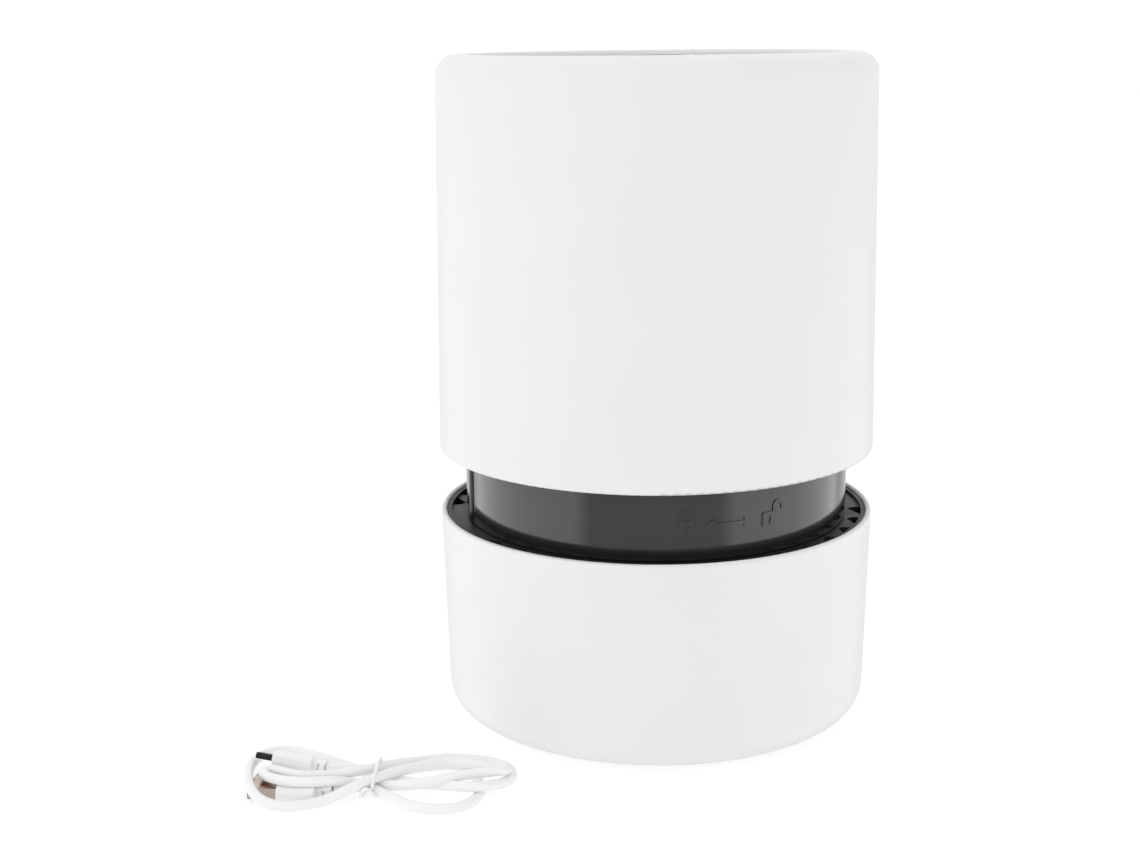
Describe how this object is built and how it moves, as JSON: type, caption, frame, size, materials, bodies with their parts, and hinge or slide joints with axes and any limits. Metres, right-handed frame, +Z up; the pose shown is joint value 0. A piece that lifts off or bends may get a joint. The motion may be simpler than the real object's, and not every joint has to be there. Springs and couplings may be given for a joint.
{
  "type": "air purifier",
  "caption": "Small cylindrical air purifier: white drum head twists and lifts off a vented white base over a dark collar; tied white USB cable beside it.",
  "frame": {"origin": "centre of the footprint, on the surface it stands on", "axes": "+Z up along the drums' common axis; -Y is the front, with the lock icons just to its right; +Y is the back with the power socket; +X is the viewer's right"},
  "size_m": [0.2419, 0.2111, 0.2644],
  "materials": {
    "white_plastic": "satin moulded",
    "dark_gloss": "polished moulded",
    "dark_plastic": "fine moulded",
    "grey_plastic": "fine moulded",
    "light_diffuser": "translucent",
    "foot_rubber": "soft moulded",
    "label_paper": "blank sticker",
    "filter_paper": "pleated",
    "filter_fabric": "open mesh",
    "strap_fabric": "woven ribbon",
    "foam": "closed-cell foam",
    "carbon": "granular",
    "steel": "plain",
    "magnet": "sintered",
    "bronze": "sintered",
    "copper": "enamelled winding",
    "circuit_board": "solder mask",
    "cable_jacket": "soft satin",
    "tie_plastic": "soft satin",
    "plug_insert": "moulded"
  },
  "bodies": {
    "base": {"base_shell": "white_plastic", "rubber_feet": "foot_rubber", "rating_label": "label_paper", "intake_deck": "dark_plastic", "cable_hank": "cable_jacket", "cable_tie": "tie_plastic", "usb_c_grip": "cable_jacket", "usb_c_shell": "steel", "usb_a_grip": "cable_jacket", "usb_a_shell": "steel", "usb_a_insert": "plug_insert"},
    "filter": {"filter_bottom_cap": "grey_plastic", "filter_top_cap": "grey_plastic", "filter_media": "filter_paper", "carbon_sleeve": "carbon", "prefilter_mesh": "filter_fabric", "filter_strap": "strap_fabric"},
    "seal": {"filter_seal": "foam"},
    "head": {"collar": "dark_gloss", "inlet_plate": "dark_plastic", "inlet_guard": "dark_plastic", "fan_housing": "dark_plastic", "motor_bearings": "bronze", "stator_core": "steel", "stator_coils": "copper", "drum_shell": "white_plastic", "head_screws": "steel", "outlet_duct": "dark_plastic", "outlet_grille": "white_plastic", "control_panel": "dark_gloss", "light_ring": "light_diffuser", "control_board": "circuit_board", "board_screws": "steel", "tact_switch": "dark_plastic", "power_board": "circuit_board", "board_posts": "dark_plastic", "power_socket": "steel", "socket_tongue": "dark_plastic", "head_wiring": "dark_plastic"},
    "rotor": {"impeller": "dark_plastic", "rotor_cup": "steel", "rotor_magnet": "magnet", "motor_shaft": "steel"},
    "button": {"power_button": "dark_gloss", "switch_plunger": "grey_plastic"}
  },
  "joints": [
    {"name": "filter_lift", "type": "slide", "parent": "base", "child": "filter", "axis": [0, 0, 1], "range_m": [0, 0.09]},
    {"name": "head_twist", "type": "hinge", "parent": "filter", "child": "seal", "pos_m": [0, 0, 0.075], "axis": [0, 0, 1], "range_deg": [-25, 0]},
    {"name": "head_lift", "type": "slide", "parent": "seal", "child": "head", "axis": [0, 0, 1], "range_m": [0, 0.12]},
    {"name": "fan_spin", "type": "hinge", "parent": "head", "child": "rotor", "pos_m": [0, 0, 0.105], "axis": [0, 0, 1], "continuous": true},
    {"name": "button_press", "type": "slide", "parent": "head", "child": "button", "axis": [0, 0, -1], "range_m": [0, 0.0008], "stiffness_N_per_m": 1500}
  ]
}
